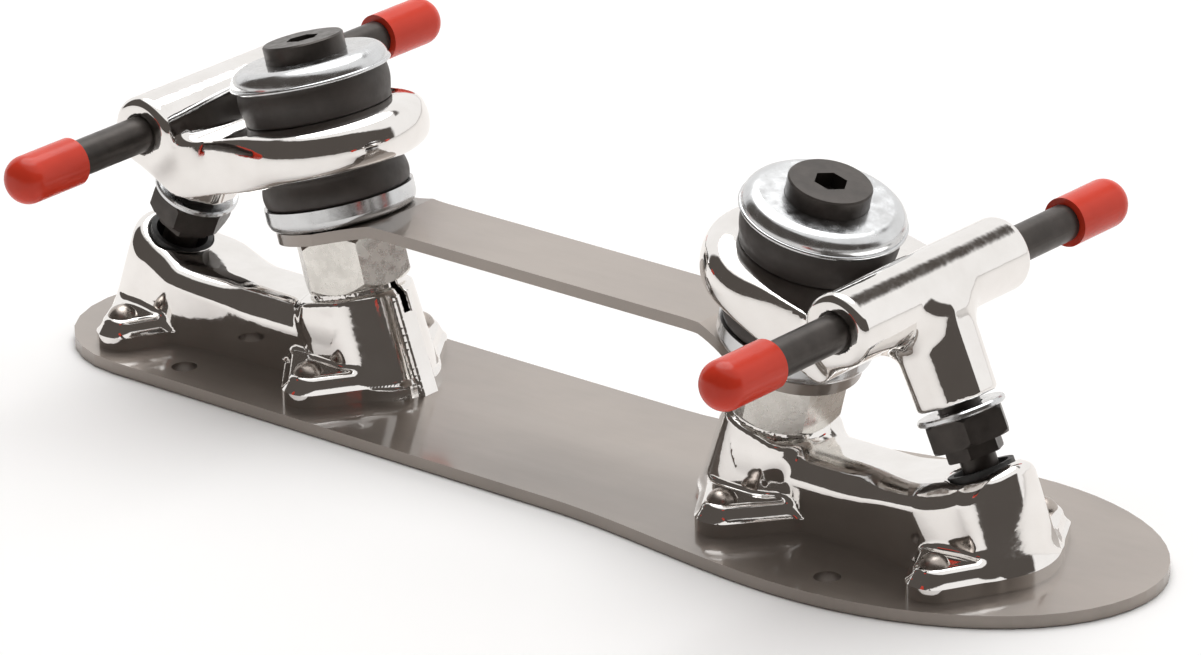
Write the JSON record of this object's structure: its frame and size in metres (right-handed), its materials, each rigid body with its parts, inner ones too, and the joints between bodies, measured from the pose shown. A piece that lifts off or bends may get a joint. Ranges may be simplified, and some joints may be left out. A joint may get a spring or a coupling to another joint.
{
  "type": "roller skate plate",
  "caption": "Quad roller skate plate: foot-shaped steel sole plate with riveted chrome bases, cushioned steering trucks on leaning king bolts, a tie strap and capped axles",
  "frame": {"origin": "middle of the wheelbase on the boot face of the sole plate, in the trucks' centre plane", "axes": "X points to the toe, Y along the axles, Z away from the boot; the plate lies boot side down as pictured"},
  "size_m": [0.247, 0.1184, 0.0699],
  "materials": {
    "plate_steel": "satin, faint lengthwise grain",
    "strap_steel": "satin",
    "chrome": "polished mirror",
    "rivet_steel": "polished dome",
    "black_oxide": "black oxide, satin",
    "nut_plating": "satin plating",
    "zinc": "bright zinc plating",
    "rubber": "smooth black rubber",
    "red_vinyl": "glossy dipped vinyl",
    "cup_plastic": "matte black"
  },
  "bodies": {
    "plate": {"sole_plate": "plate_steel", "brace_strap": "strap_steel", "front_base": "chrome", "rear_base": "chrome", "front_rivets": "rivet_steel", "rear_rivets": "rivet_steel", "front_king_bolt": "black_oxide", "rear_king_bolt": "black_oxide", "front_king_nut": "nut_plating", "rear_king_nut": "nut_plating", "front_upper_retainer": "zinc", "rear_upper_retainer": "zinc", "front_lower_retainer": "zinc", "rear_lower_retainer": "zinc", "front_upper_cushion": "rubber", "rear_upper_cushion": "rubber", "front_lower_cushion": "rubber", "rear_lower_cushion": "rubber", "front_pivot_cup": "cup_plastic", "rear_pivot_cup": "cup_plastic"},
    "front_steering": {"front_truck": "chrome", "front_axle": "black_oxide", "front_pivot_pin": "black_oxide", "front_pivot_lock_nut": "black_oxide", "front_pivot_washer": "zinc"},
    "rear_steering": {"rear_truck": "chrome", "rear_axle": "black_oxide", "rear_pivot_pin": "black_oxide", "rear_pivot_lock_nut": "black_oxide", "rear_pivot_washer": "zinc"},
    "front_left_cap": {"front_left_axle_cap": "red_vinyl"},
    "front_right_cap": {"front_right_axle_cap": "red_vinyl"},
    "rear_left_cap": {"rear_left_axle_cap": "red_vinyl"},
    "rear_right_cap": {"rear_right_axle_cap": "red_vinyl"}
  },
  "joints": [
    {"name": "front_steer", "type": "hinge", "parent": "plate", "child": "front_steering", "pos_m": [0.1002, 0, 0.0154], "axis": [-0.7757, 0, 0.6311], "range_deg": [-10, 10], "stiffness_Nm_per_rad": 6, "deforming": ["front_upper_cushion", "front_lower_cushion"]},
    {"name": "rear_steer", "type": "hinge", "parent": "plate", "child": "rear_steering", "pos_m": [-0.1002, 0, 0.0154], "axis": [0.7757, 0, 0.6311], "range_deg": [-10, 10], "stiffness_Nm_per_rad": 6, "deforming": ["rear_upper_cushion", "rear_lower_cushion"]},
    {"name": "front_left_cap_pull", "type": "slide", "parent": "front_steering", "child": "front_left_cap", "axis": [0, 1, 0], "range_m": [0, 0.02]},
    {"name": "front_right_cap_pull", "type": "slide", "parent": "front_steering", "child": "front_right_cap", "axis": [0, -1, 0], "range_m": [0, 0.02]},
    {"name": "rear_left_cap_pull", "type": "slide", "parent": "rear_steering", "child": "rear_left_cap", "axis": [0, 1, 0], "range_m": [0, 0.02]},
    {"name": "rear_right_cap_pull", "type": "slide", "parent": "rear_steering", "child": "rear_right_cap", "axis": [0, -1, 0], "range_m": [0, 0.02]}
  ]
}
